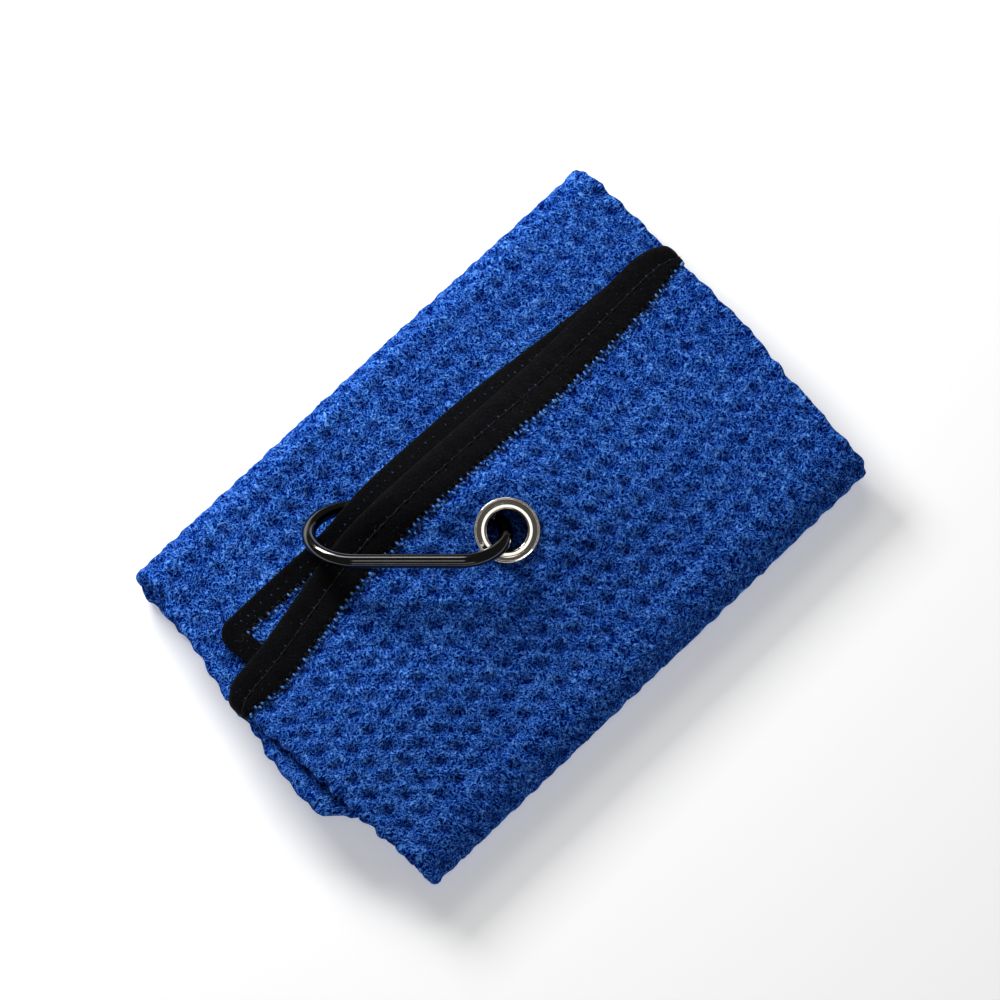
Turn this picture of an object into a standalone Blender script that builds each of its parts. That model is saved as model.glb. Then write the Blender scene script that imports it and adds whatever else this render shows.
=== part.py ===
"""Waffle-weave golf towel, folded in three and wrapped into a bundle, with a
grommet in its top hem and a spring-gate clip through the grommet.

Frame: +X along the long side of the bundle, +Y towards the side that the hem of
the top flap faces, +Z up. Origin at the middle of the underside. Metres."""

import math

import bmesh
import bpy
import numpy as np
from mathutils import Matrix, Vector

MM = 0.001

# ---- driving dimensions, millimetres --------------------------------------
TOWEL = 406.0            # cut size of the square towel, 16 in
PLY_T = 0.5              # base cloth of one ply, without its pile
PLY_PITCH = 1.05         # spacing of the three plies of the folded strip
STRIP_PITCH = 3.4        # spacing of the strip's turns in the bundle
TOP_BIND = 9.5           # width of the top and bottom hem bindings
SIDE_BIND = 5.0          # width of the side hem bindings
GAP = 0.3                # between pieces that touch

B_FREE, B_FOLD, A_FOLD, C_FREE = -63.0, 68.0, -70.0, 61.4   # folds across the width
HEM_Y = 20.0             # hem edge of the top flap
Y_FRONT, R_FRONT = -41.2, 6.7   # fold that the top flap hangs on
Y_BACK = 42.6            # outer fold on the far side
Y_IN_F, Y_IN_B = -40.6, 41.6     # the two folds inside the bundle
Z1 = PLY_PITCH + PLY_T / 2       # middle ply of the lowest turn
Z3, Z4, Z2 = Z1 + STRIP_PITCH, Z1 + 2 * STRIP_PITCH, Z1 + 3 * STRIP_PITCH
Z0 = Z1 + 2 * R_FRONT            # middle ply of the top flap

EYE_X, EYE_Y = -4.0, -4.5        # grommet centre
EYE_R, EYE_OUT = 4.4, 7.35       # hole radius, flange radius
EYE_TILT = math.radians(18.0)    # lean of the grommet towards -X-Y
RAISE, RAISE_HEM = 5.14, 5.4     # how far the clip holds the flap up
DISH = 1.2                       # how far the clip sinks into the bundle

CLIP_L, CLIP_W, ROD = 47.0, 24.0, 3.2
CLIP_TILT = math.radians(35.0)
GATE_OPEN = math.radians(9.0)

for old in list(bpy.data.objects):
    bpy.data.objects.remove(old, do_unlink=True)


def collection(name, hidden=False):
    made = bpy.data.collections.new(name)
    bpy.context.scene.collection.children.link(made)
    made.hide_render = hidden
    return made


PARTS = collection("golf_towel")
CUTTERS = collection("cutters", hidden=True)


def material(name, colour, roughness, metallic):
    made = bpy.data.materials.new(name)
    made.use_nodes = True
    shader = made.node_tree.nodes["Principled BSDF"]
    shader.inputs["Base Color"].default_value = (*colour, 1.0)
    shader.inputs["Roughness"].default_value = roughness
    shader.inputs["Metallic"].default_value = metallic
    return made


WAFFLE = material("blue_waffle_cloth", (0.02, 0.075, 0.30), 0.95, 0.0)
BINDING = material("black_binding", (0.012, 0.012, 0.015), 0.9, 0.0)
NICKEL = material("grommet_nickel", (0.55, 0.52, 0.48), 0.25, 1.0)
GUNMETAL = material("clip_gunmetal", (0.06, 0.06, 0.065), 0.22, 1.0)
STEEL = material("spring_steel", (0.6, 0.6, 0.6), 0.3, 1.0)


def add(name, mesh, mat, group=PARTS):
    made = bpy.data.objects.new(name, mesh)
    group.objects.link(made)
    if mat:
        mesh.materials.clear()
        mesh.materials.append(mat)
    return made


def cutter(name, mesh):
    made = add(name, mesh, None, CUTTERS)
    made.hide_render = True
    made.display_type = "WIRE"
    return made


def smooth(mesh, angle=40):
    mesh.shade_smooth()
    mesh.set_sharp_from_angle(angle=math.radians(angle))


# ---- how the towel is folded ------------------------------------------------
ALONG = (-math.sqrt(0.5), math.sqrt(0.5))   # clip's long direction, towards the hem
ACROSS = (math.sqrt(0.5), math.sqrt(0.5))


def step(t):
    t = min(1.0, max(0.0, t))
    return t * t * (3 - 2 * t)


def clip_axes(x, y):
    """Distance along and across the clip, from the grommet."""
    dx, dy = x - EYE_X, y - EYE_Y
    return dx * ALONG[0] + dy * ALONG[1], dx * ACROSS[0] + dy * ACROSS[1]


def flap_raise(x, y):
    a, b = clip_axes(x, y)
    if a < 0:
        along = RAISE * math.exp(-((a / 13) ** 2) / 2)
    else:
        along = RAISE + (RAISE_HEM - RAISE) * step(a / 26)
        along *= 1 - 0.8 * step((a - 40) / 30)
    width = 8.5 if b < 6 else 20.0
    raised = along * math.exp(-(((b - 6) / width) ** 2) / 2)
    # the grommet keeps the cloth flat round it
    flat = RAISE * math.exp(-((6 / 8.5) ** 2) / 2) + b * math.tan(EYE_TILT)
    near = 1 - step((math.hypot(a, b) - 8.5) / 7)
    return raised + (flat - raised) * near


def bundle_dish(x, y):
    a, b = clip_axes(x, y)
    window = step((a + 8) / 10) * (1 - step((a - 42) / 12))
    return (DISH + 0.3) * window * math.exp(-(((b - 5.5) / 9) ** 2) / 2)


def ends(v):
    """Where the strip's two folded ends lie, along its length."""
    table = (
        (0, -73.6, 71.5), (24, -74.6, 70), (46, -75.4, 67.5), (61, -73.5, 66),
        (83, -71, 65.5), (125, -70, 68), (166, -67.5, 72), (183, -66.5, 72.6),
        (188, -68.3, 72.2), (218, -75, 70.6), (231, -76.8, 69.6), (247, -77.6, 68.6),
        (266, -75.5, 67), (280, -70, 66.5), (320, -69, 67.5), (360, -68, 69), (406, -67, 69),
    )
    for (v0, a0, b0), (v1, a1, b1) in zip(table, table[1:]):
        if v <= v1:
            t = step((v - v0) / (v1 - v0))
            return a0 + (a1 - a0) * t, b0 + (b1 - b0) * t
    return table[-1][1:]


def across(u):
    """Place across the strip of the point u along the towel's width: x and the ply's level."""
    r1, r2 = PLY_PITCH / 2, PLY_PITCH
    runs = (B_FOLD - B_FREE, math.pi * r1, B_FOLD - A_FOLD, math.pi * r2)
    if u < runs[0]:
        return B_FREE + u, 0.0, "B"
    u -= runs[0]
    if u < runs[1]:
        a = u / r1
        return B_FOLD + r1 * math.sin(a), r1 - r1 * math.cos(a), "BA"
    u -= runs[1]
    if u < runs[2]:
        return B_FOLD - u, PLY_PITCH, "A"
    u -= runs[2]
    if u < runs[3]:
        a = u / r2
        return A_FOLD - r2 * math.sin(a), r2 * math.cos(a), "AC"
    return A_FOLD + u - runs[3], -PLY_PITCH, "C"


SECTIONS = (
    ("flat", HEM_Y, Y_FRONT, Z0, -1), ("arc", Y_FRONT, R_FRONT, Z1, -1),
    ("flat", Y_FRONT, Y_BACK, Z1, 1), ("arc", Y_BACK, (Z2 - Z1) / 2, Z1, 1),
    ("flat", Y_BACK, Y_IN_F, Z2, -1), ("arc", Y_IN_F, (Z2 - Z3) / 2, Z3, -1),
    ("flat", Y_IN_F, Y_IN_B, Z3, 1), ("arc", Y_IN_B, (Z4 - Z3) / 2, Z3, 1),
    ("flat", Y_IN_B, -400.0, Z4, -1),
)


def section_length(section):
    return abs(section[2] - section[1]) if section[0] == "flat" else math.pi * section[2]


V_HINGE = section_length(SECTIONS[0])


def wrap(v):
    """Middle of the strip at v along the towel, its outward normal, and the turn's number."""
    for number, section in enumerate(SECTIONS):
        length = section_length(section)
        if v <= length or number == len(SECTIONS) - 1:
            break
        v -= length
    kind, y0, _, z, way = section
    if kind == "flat":
        return y0 + way * v, z, 0.0, -way, number
    r = section[2]
    a = v / r
    if way < 0:   # from the top, round the front, to the bottom
        return y0 - r * math.sin(a), z + r + r * math.cos(a), -math.sin(a), math.cos(a), number
    return y0 + r * math.sin(a), z + r - r * math.cos(a), math.sin(a), -math.cos(a), number


def hem_shift(x, ply, v):
    """How far a ply's edge lies beyond or short of the straight hem, in the flap."""
    fade = 1 - step(v / 58)
    front = -9.0 * (1 - step((x + 74) / 46)) + 0.2
    middle = 5.0 * (1 - step((x - 6) / 60))
    notch = -1.2 * math.exp(-(((x + 33) / 7) ** 2) / 2)
    back = -9.0 * (1 - step((x + 74) / 30)) + 3.4 * step((x + 74) / 40)
    value = {"A": front, "B": middle + notch, "BA": 0.2, "AC": -9.0, "C": back}[ply]
    return value * fade


def place(u, v):
    """Point of the folded towel for the point (u, v) of the flat one, in millimetres."""
    local, level, ply = across(u)
    left, right = ends(v)
    x = left + (local - A_FOLD + PLY_PITCH) / (B_FOLD - A_FOLD + 1.5 * PLY_PITCH) * (right - left)
    y, z, ny, nz, turn = wrap(v)
    if turn == 0:
        y += hem_shift(x, ply, v)
        near = math.hypot(x - EYE_X, y - EYE_Y)
        level *= 0.62 + 0.38 * step((near - 8.5) / 6)
        return x, y, z + flap_raise(x, y) * step((V_HINGE - v) / 26) + level
    if turn == 4:
        z -= bundle_dish(x, y)
    elif turn == 8:
        z -= bundle_dish(x, y) * 0.67
    elif turn == 6:
        z -= bundle_dish(x, y) * 0.33
    return x, y + ny * level, z + nz * level


def stops(first, last, marks, step_size):
    """Coordinates from first to last, through every mark, no further apart than step_size(x)."""
    knots = sorted({first, last, *[m for m in marks if first + 0.2 < m < last - 0.2]})
    out = [knots[0]]
    for a, b in zip(knots, knots[1:]):
        n = max(1, math.ceil((b - a) / step_size((a + b) / 2)))
        out += [a + (b - a) * i / n for i in range(1, n + 1)]
    return out


U_RUNS = np.cumsum([B_FOLD - B_FREE, math.pi * PLY_PITCH / 2, B_FOLD - A_FOLD, math.pi * PLY_PITCH])
V_RUNS = np.cumsum([section_length(s) for s in SECTIONS[:-1]])


def u_marks(spacing):
    """The same columns on all three plies, so that they stay clear of each other where they curve."""
    columns = np.arange(-54.0, 54.1, spacing)
    return [*U_RUNS, *(columns - B_FREE), *(U_RUNS[1] + B_FOLD - columns), *(U_RUNS[3] + columns - A_FOLD)]


def u_step(u):
    if U_RUNS[0] < u < U_RUNS[1]:
        return 0.6
    if U_RUNS[2] < u < U_RUNS[3]:
        return 0.9
    return 30.0


def v_step(v):
    for i in (0, 2, 4, 6):
        if V_RUNS[i] < v < V_RUNS[i + 1]:
            return math.pi * SECTIONS[i + 1][2] / 5.01
    return 5.0 if v < V_RUNS[0] else 9.5 if V_RUNS[3] < v < V_RUNS[4] else 42.0


def cloth(name, u0, u1, v0, v1, mat, spacing=13.5):
    """One rectangle of the flat towel, in its folded place, as a solid sheet."""
    us = stops(u0, u1, u_marks(spacing), u_step)
    vs = stops(v0, v1, V_RUNS, v_step)
    mesh = bpy.data.meshes.new(name)
    shape = bmesh.new()
    grid = [[shape.verts.new(Vector(place(u, v)) * MM) for v in vs] for u in us]
    for i in range(len(us) - 1):
        for j in range(len(vs) - 1):
            shape.faces.new((grid[i][j], grid[i + 1][j], grid[i + 1][j + 1], grid[i][j + 1]))
    shape.normal_update()
    shape.to_mesh(mesh)
    shape.free()
    made = add(name, mesh, mat)
    solid = made.modifiers.new("ply", "SOLIDIFY")
    solid.thickness = PLY_T * MM
    solid.offset = 0.0
    solid.use_even_offset = True
    smooth(mesh)
    return made


EDGE = GAP / 2
flap = cloth("cloth_flap", SIDE_BIND + EDGE, TOWEL - SIDE_BIND - EDGE, TOP_BIND + EDGE, V_HINGE - EDGE, WAFFLE, 4.5)
cloth("cloth_bundle", SIDE_BIND + EDGE, TOWEL - SIDE_BIND - EDGE, V_HINGE + EDGE, TOWEL - TOP_BIND - EDGE, WAFFLE)
cloth("top_binding", 0.0, TOWEL, 0.0, TOP_BIND - EDGE, BINDING, 6.75)
cloth("bottom_binding", 0.0, TOWEL, TOWEL - TOP_BIND + EDGE, TOWEL, BINDING)
for side, u0, u1 in (("left", 0.0, SIDE_BIND - EDGE), ("right", TOWEL - SIDE_BIND + EDGE, TOWEL)):
    cloth(side + "_binding_flap", u0, u1, TOP_BIND + EDGE, V_HINGE - EDGE, BINDING)
    cloth(side + "_binding_bundle", u0, u1, V_HINGE + EDGE, TOWEL - TOP_BIND - EDGE, BINDING)

# ---- grommet ----------------------------------------------------------------
EYE_Z = Z0 + flap_raise(EYE_X, EYE_Y)
eye_axis = Vector((-math.sin(EYE_TILT) * ACROSS[0], -math.sin(EYE_TILT) * ACROSS[1], math.cos(EYE_TILT)))
eye_x = Vector((ALONG[0], ALONG[1], 0.0))
EYE_FRAME = Matrix.Translation(Vector((EYE_X, EYE_Y, EYE_Z)) * MM) @ Matrix(
    (eye_x, eye_axis.cross(eye_x), eye_axis)
).transposed().to_4x4()
HALF = 0.62 * PLY_PITCH + PLY_T / 2   # half the clamped plies


def turned(name, profile, mat, steps=40):
    """A closed profile of (radius, height) turned about the grommet's axis."""
    mesh = bpy.data.meshes.new(name)
    shape = bmesh.new()
    points = [shape.verts.new((r * MM, 0, h * MM)) for r, h in profile]
    for a, b in zip(points, points[1:] + points[:1]):
        shape.edges.new((a, b))
    shape.to_mesh(mesh)
    shape.free()
    made = add(name, mesh, mat)
    made.matrix_world = EYE_FRAME
    screw = made.modifiers.new("turn", "SCREW")
    screw.axis = "Z"
    screw.steps = screw.render_steps = steps
    screw.use_merge_vertices = True
    screw.merge_threshold = 0.00001
    screw.use_normal_calculate = True
    screw.use_smooth_shade = True
    return made


def arc(cx, cy, r, a0, a1, n, ry=None):
    """Points on an arc, degrees."""
    return [
        (cx + r * math.cos(math.radians(a0 + (a1 - a0) * i / n)),
         cy + (ry or r) * math.sin(math.radians(a0 + (a1 - a0) * i / n)))
        for i in range(n + 1)
    ]


top = HALF + GAP
low = -HALF - GAP - 0.35 - 0.3
eyelet = (
    [(4.8, top - 0.1), (5.1, top), (EYE_OUT - 0.25, top)]
    + arc(EYE_OUT - 0.45, top + 0.35, 0.4, -40, 80, 4)
    + [(6.2, top + 0.95), (5.6, top + 0.85)]
    + arc(5.15, top + 0.05, 0.75, 95, 175, 5)
    + [(EYE_R, low + 0.55)]
    + arc(EYE_R + 0.55, low + 0.15, 0.55, 190, 270, 3)
    + [(5.7, low - 0.35), (5.9, low - 0.05), (5.05, low), (4.8, low + 0.4)]
)
turned("grommet_eyelet", eyelet[::-1], NICKEL)
washer = [(5.15, -HALF - GAP), (5.15, -HALF - GAP - 0.35), (6.9, -HALF - GAP - 0.35), (7.15, -HALF - GAP - 0.2), (7.15, -HALF - GAP)]
turned("grommet_washer", washer, NICKEL)

punch = bpy.data.meshes.new("punch")
shape = bmesh.new()
bmesh.ops.create_cone(shape, cap_ends=True, segments=32, radius1=5.12 * MM, radius2=5.12 * MM, depth=12 * MM)
shape.to_mesh(punch)
shape.free()
punch = cutter("punch", punch)
punch.matrix_world = EYE_FRAME
hole = flap.modifiers.new("eyelet_hole", "BOOLEAN")
hole.operation = "DIFFERENCE"
hole.object = punch
hole.solver = "MANIFOLD"

# ---- clip -------------------------------------------------------------------
R_END = (CLIP_W - ROD) / 2
STRAIGHT = CLIP_L - ROD - 2 * R_END
LOW_Z = Z2 + PLY_PITCH + PLY_T / 2 - DISH + GAP + ROD / 2
MID_Z = LOW_Z + R_END * math.sin(CLIP_TILT)
sink = (MID_Z - EYE_Z) / math.sin(CLIP_TILT)   # along the tilted plane, from its middle to the grommet
START = 0.2                                    # grommet centre to the rod's turn, along the clip
clip_s = Vector((ALONG[0], ALONG[1], 0.0))
clip_t = Vector((ACROSS[0] * math.cos(CLIP_TILT), ACROSS[1] * math.cos(CLIP_TILT), -math.sin(CLIP_TILT)))
clip_n = clip_s.cross(clip_t)
clip_mid = (
    Vector((EYE_X, EYE_Y, MID_Z))
    + clip_s * (START + R_END)
    - Vector((ACROSS[0], ACROSS[1], 0.0)) * sink * math.cos(CLIP_TILT)
)
CLIP_FRAME = Matrix.Translation(clip_mid * MM) @ Matrix((clip_s, clip_t, clip_n)).transposed().to_4x4()
# local frame: s from the grommet end's centre towards the hem, t towards the lower arm
PIVOT_S, NOSE_S = 1.2, STRAIGHT - 2.6
TONGUE, SLOT = 1.1, 1.7
GATE_A, GATE_B = PIVOT_S - 1.35, NOSE_S + 1.3


def rod_mesh(name, points, radius, resolution=3):
    curve = bpy.data.curves.new(name, "CURVE")
    curve.dimensions = "3D"
    curve.bevel_depth = radius * MM
    curve.bevel_resolution = resolution
    curve.use_fill_caps = True
    line = curve.splines.new("POLY")
    line.points.add(len(points) - 1)
    for point, p in zip(line.points, points):
        point.co = (*(Vector(p) * MM), 1.0)
    guide = bpy.data.objects.new(name + "_guide", curve)
    CUTTERS.objects.link(guide)
    bpy.context.view_layer.update()
    graph = bpy.context.evaluated_depsgraph_get()
    mesh = bpy.data.meshes.new_from_object(guide.evaluated_get(graph))
    bpy.data.objects.remove(guide, do_unlink=True)
    shape = bmesh.new()
    shape.from_mesh(mesh)
    bmesh.ops.remove_doubles(shape, verts=shape.verts, dist=1e-6)
    bmesh.ops.recalc_face_normals(shape, faces=shape.faces)
    shape.to_mesh(mesh)
    shape.free()
    mesh.name = name
    return mesh


def box_mesh(name, low, high):
    mesh = bpy.data.meshes.new(name)
    shape = bmesh.new()
    bmesh.ops.create_cube(shape, size=1.0)
    for v in shape.verts:
        v.co = Vector([(l + h) / 2 + c * (h - l) for l, h, c in zip(low, high, v.co)]) * MM
    shape.to_mesh(mesh)
    shape.free()
    return mesh


def pin_mesh(name, centre, direction, radius, length, segments=20):
    mesh = bpy.data.meshes.new(name)
    shape = bmesh.new()
    turn = Vector((0, 0, 1)).rotation_difference(Vector(direction)).to_matrix().to_4x4()
    bmesh.ops.create_cone(
        shape, cap_ends=True, segments=segments, radius1=radius * MM, radius2=radius * MM, depth=length * MM,
        matrix=Matrix.Translation(Vector(centre) * MM) @ turn,
    )
    shape.to_mesh(mesh)
    shape.free()
    return mesh


def boolean(target, operation, mesh_or_object, name):
    other = mesh_or_object
    if not isinstance(other, bpy.types.Object):
        other = cutter(name, other)
        other.matrix_world = target.matrix_world
    change = target.modifiers.new(name, "BOOLEAN")
    change.operation = operation
    change.object = other
    return change


def stadium():
    """Centre line of the clip's frame: from the gate's pivot round the grommet end, the upper arm and the hem end to the nose."""
    points = [(PIVOT_S - 1.9, R_END, 0.0)]
    points += [(-R_END * math.sin(a), R_END * math.cos(a), 0.0) for a in np.linspace(0.12, math.pi, 20)]
    points += [(STRAIGHT * i / 4, -R_END, 0.0) for i in range(1, 4)]
    points += [(STRAIGHT + R_END * math.sin(a), -R_END * math.cos(a), 0.0) for a in np.linspace(0.0, math.pi, 20)]
    points += [(NOSE_S + 1.75, R_END, 0.0)]
    return points


frame = add("clip_frame", rod_mesh("clip_frame", stadium(), ROD / 2, 4), GUNMETAL)
frame.matrix_world = CLIP_FRAME
smooth(frame.data, 50)
# tongue that the gate's fork turns on, and the nose that its other fork closes over
boolean(frame, "UNION", box_mesh("tongue", (PIVOT_S - 2.6, R_END - 1.15, -TONGUE / 2), (PIVOT_S + 1.1, R_END + 1.15, TONGUE / 2)), "tongue")
boolean(frame, "UNION", box_mesh("nose", (NOSE_S + 0.75, R_END - 0.95, -TONGUE / 2), (NOSE_S + 2.6, R_END + 1.15, TONGUE / 2)), "nose")
boolean(frame, "DIFFERENCE", pin_mesh("pivot_hole", (PIVOT_S, R_END, 0), (0, 0, 1), 0.85, 6), "pivot_hole")

gate = add("clip_gate", pin_mesh("clip_gate", ((GATE_A + GATE_B) / 2, R_END, 0), (1, 0, 0), ROD / 2, GATE_B - GATE_A, 28), GUNMETAL)
gate.matrix_world = CLIP_FRAME
smooth(gate.data, 50)
boolean(gate, "DIFFERENCE", box_mesh("pivot_slot", (GATE_A - 1, R_END - 3, -SLOT / 2), (PIVOT_S + 1.6, R_END + 3, SLOT / 2)), "pivot_slot")
boolean(gate, "DIFFERENCE", box_mesh("nose_slot", (NOSE_S - 1.0, R_END - 3, -SLOT / 2), (GATE_B + 1, R_END + 3, SLOT / 2)), "nose_slot")
boolean(gate, "DIFFERENCE", pin_mesh("gate_pin_hole", (PIVOT_S, R_END, 0), (0, 0, 1), 0.85, 6), "gate_pin_hole")
boolean(gate, "DIFFERENCE", pin_mesh("spring_bore", (PIVOT_S + 6.0, R_END, 0), (1, 0, 0), 0.95, 10.0, 16), "spring_bore")
boolean(gate, "DIFFERENCE", pin_mesh("nose_pin_hole", (NOSE_S - 0.15, R_END, 0), (0, 0, 1), 0.75, 6), "nose_pin_hole")


def placed(name, mesh, mat):
    made = add(name, mesh, mat)
    made.matrix_world = CLIP_FRAME
    smooth(mesh, 50)
    return made


placed("gate_pivot_pin", pin_mesh("gate_pivot_pin", (PIVOT_S, R_END, 0), (0, 0, 1), 0.52, ROD + 0.2), STEEL)
placed("gate_nose_pin", pin_mesh("gate_nose_pin", (NOSE_S - 0.15, R_END, 0), (0, 0, 1), 0.42, ROD + 0.1), STEEL)
placed("gate_plunger", pin_mesh("gate_plunger", (PIVOT_S + 2.6, R_END, 0), (1, 0, 0), 0.6, 2.2, 16), STEEL)
coil_a, coil_b, turns = PIVOT_S + 4.15, PIVOT_S + 10.55, 9
coil = [
    (coil_a + (coil_b - coil_a) * i / (turns * 10), R_END + 0.5 * math.cos(i * math.pi / 5), 0.5 * math.sin(i * math.pi / 5))
    for i in range(turns * 10 + 1)
]
placed("gate_spring", rod_mesh("gate_spring", coil, 0.13, 1), STEEL)

# the middle of the whole object's bounding box goes over the origin
bpy.context.view_layer.update()
CENTRED = Matrix.Translation((2.545 * MM, -0.08 * MM, 0.0))
for obj in bpy.data.objects:
    obj.matrix_world = CENTRED @ obj.matrix_world
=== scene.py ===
"""Looks of the folded waffle golf towel: woven cloth, bindings, stitching, grommet and clip."""
import math
import bmesh
import bpy
import numpy as np
from mathutils import Matrix, Vector


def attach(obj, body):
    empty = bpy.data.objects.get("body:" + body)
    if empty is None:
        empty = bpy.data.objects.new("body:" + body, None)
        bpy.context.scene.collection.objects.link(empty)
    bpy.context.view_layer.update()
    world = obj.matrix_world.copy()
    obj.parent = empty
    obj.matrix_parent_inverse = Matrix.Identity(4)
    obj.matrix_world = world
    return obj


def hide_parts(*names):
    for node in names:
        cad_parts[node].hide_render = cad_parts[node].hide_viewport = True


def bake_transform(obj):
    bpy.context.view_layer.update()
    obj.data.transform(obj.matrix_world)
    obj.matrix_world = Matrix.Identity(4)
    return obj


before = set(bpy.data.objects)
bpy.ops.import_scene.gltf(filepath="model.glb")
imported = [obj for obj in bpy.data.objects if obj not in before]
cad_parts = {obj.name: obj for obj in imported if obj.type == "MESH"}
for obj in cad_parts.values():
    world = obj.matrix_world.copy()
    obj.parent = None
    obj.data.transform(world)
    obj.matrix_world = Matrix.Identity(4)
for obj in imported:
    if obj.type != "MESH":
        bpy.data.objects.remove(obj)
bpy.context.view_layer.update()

MM = 0.001
SHIFT = np.array((2.545, -0.08, 0.0))   # the box's middle over the origin
scene = bpy.context.scene

# ---- the fold, as in the CAD (millimetres) ----------------------------------
TOWEL, PLY_T, PLY_PITCH, STRIP_PITCH = 406.0, 0.5, 1.05, 3.4
TOP_BIND, SIDE_BIND, GAP = 9.5, 5.0, 0.3
B_FREE, B_FOLD, A_FOLD, C_FREE = -63.0, 68.0, -70.0, 61.4
HEM_Y, Y_FRONT, R_FRONT, Y_BACK, Y_IN_F, Y_IN_B = 20.0, -41.2, 6.7, 42.6, -40.6, 41.6
Z1 = PLY_PITCH + PLY_T / 2
Z3, Z4, Z2 = Z1 + STRIP_PITCH, Z1 + 2 * STRIP_PITCH, Z1 + 3 * STRIP_PITCH
Z0 = Z1 + 2 * R_FRONT
CORNER = 3.3
EYE_X, EYE_Y = -4.0, -4.5
EYE_R, EYE_OUT, EYE_TILT = 4.4, 7.35, math.radians(18.0)
RAISE, RAISE_HEM, DISH = 5.14, 5.4, 1.2
CLIP_L, CLIP_W, ROD, CLIP_TILT = 47.0, 24.0, 3.2, math.radians(35.0)
START = 0.2
ALONG = np.array((-math.sqrt(0.5), math.sqrt(0.5)))
ACROSS = np.array((math.sqrt(0.5), math.sqrt(0.5)))
R1, R2 = PLY_PITCH / 2, PLY_PITCH
U = np.cumsum([B_FOLD - B_FREE, math.pi * R1, B_FOLD - A_FOLD, math.pi * R2])


def step(t):
    t = np.clip(t, 0.0, 1.0)
    return t * t * (3 - 2 * t)


def flap_raise(x, y):
    dx, dy = x - EYE_X, y - EYE_Y
    a, b = dx * ALONG[0] + dy * ALONG[1], dx * ACROSS[0] + dy * ACROSS[1]
    ahead = (RAISE + (RAISE_HEM - RAISE) * step(a / 26)) * (1 - 0.8 * step((a - 40) / 30))
    along = np.where(a < 0, RAISE * np.exp(-((a / 13) ** 2) / 2), ahead)
    width = np.where(b < 6, 8.5, 20.0)
    raised = along * np.exp(-(((b - 6) / width) ** 2) / 2)
    flat = RAISE * math.exp(-((6 / 8.5) ** 2) / 2) + b * math.tan(EYE_TILT)
    near = 1 - step((np.hypot(a, b) - 8.5) / 7)
    return raised + (flat - raised) * near


def bundle_dish(x, y):
    dx, dy = x - EYE_X, y - EYE_Y
    a, b = dx * ALONG[0] + dy * ALONG[1], dx * ACROSS[0] + dy * ACROSS[1]
    window = step((a + 8) / 10) * (1 - step((a - 42) / 12))
    return (DISH + 0.3) * window * np.exp(-(((b - 5.5) / 9) ** 2) / 2)


ENDS = np.array((
    (0, -74.6, 71.2), (24, -73.0, 70), (46, -72.4, 67.5), (61, -71.2, 66),
    (83, -69.0, 65.5), (125, -69, 68), (166, -67.5, 71.5), (183, -66.5, 72),
    (190, -69.3, 71.8), (218, -74.2, 70.6), (231, -76.9, 69.6), (241, -78.0, 69), (246, -77.4, 68.6),
    (250, -73.0, 68.3), (254, -69.5, 67.6), (266, -69, 67), (280, -68, 66.5), (320, -68, 67.5), (360, -67, 68), (406, -67, 68),
))


def ends(v):
    i = np.clip(np.searchsorted(ENDS[:, 0], v, side="left") - 1, 0, len(ENDS) - 2)
    a, b = ENDS[i], ENDS[i + 1]
    t = step((v - a[..., 0]) / (b[..., 0] - a[..., 0]))
    return a[..., 1] + (b[..., 1] - a[..., 1]) * t, a[..., 2] + (b[..., 2] - a[..., 2]) * t


def across(u):
    """x, level and front normal across the strip, and the ply: 0 B, 1 right fold, 2 A, 3 left fold, 4 C."""
    ply = np.searchsorted(U, u, side="right")
    a1 = np.clip((u - U[0]) / R1, 0, math.pi)
    a2 = np.clip((u - U[2]) / R2, 0, math.pi)
    x = np.choose(ply, [B_FREE + u, B_FOLD + R1 * np.sin(a1), B_FOLD - (u - U[1]), A_FOLD - R2 * np.sin(a2), A_FOLD + (u - U[3])])
    level = np.choose(ply, [0 * u, R1 - R1 * np.cos(a1), PLY_PITCH + 0 * u, R2 * np.cos(a2), -PLY_PITCH + 0 * u])
    nx = np.choose(ply, [0 * u, np.sin(a1), 0 * u, -np.sin(a2), 0 * u])
    nw = np.choose(ply, [-1 + 0 * u, -np.cos(a1), 1 + 0 * u, np.cos(a2), -1 + 0 * u])
    return x, level, nx, nw, ply


SECTIONS = (
    (0, HEM_Y, Y_FRONT, Z0, -1), (1, Y_FRONT, R_FRONT, Z1, -1),
    (0, Y_FRONT, Y_BACK, Z1, 1), (1, Y_BACK, (Z2 - Z1) / 2, Z1, 1),
    (0, Y_BACK, Y_IN_F, Z2, -1), (1, Y_IN_F, (Z2 - Z3) / 2, Z3, -1),
    (0, Y_IN_F, Y_IN_B, Z3, 1), (1, Y_IN_B, (Z4 - Z3) / 2, Z3, 1),
    (0, Y_IN_B, -400.0, Z4, -1),
)
LENGTHS = [math.pi * s[2] if s[0] else abs(s[2] - s[1]) for s in SECTIONS]
V = np.concatenate([[0.0], np.cumsum(LENGTHS)])
V_HINGE = V[1]
V_SPLIT = V_HINGE + 15.5


def wrap(v):
    turn = np.clip(np.searchsorted(V, v, side="right") - 1, 0, len(SECTIONS) - 1)
    y, z, ny, nz = (np.zeros_like(v) for _ in range(4))
    for i, (arc, y0, r, z0, way) in enumerate(SECTIONS):
        m = turn == i
        t = v[m] - V[i]
        if arc:
            a = t / r
            y[m] = y0 + way * r * np.sin(a)
            z[m] = z0 + r - way * r * np.cos(a)
            ny[m], nz[m] = way * np.sin(a), -way * np.cos(a)
        else:
            y[m], z[m], nz[m] = y0 + way * t, z0, -way
    return y, z, ny, nz, turn


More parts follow.
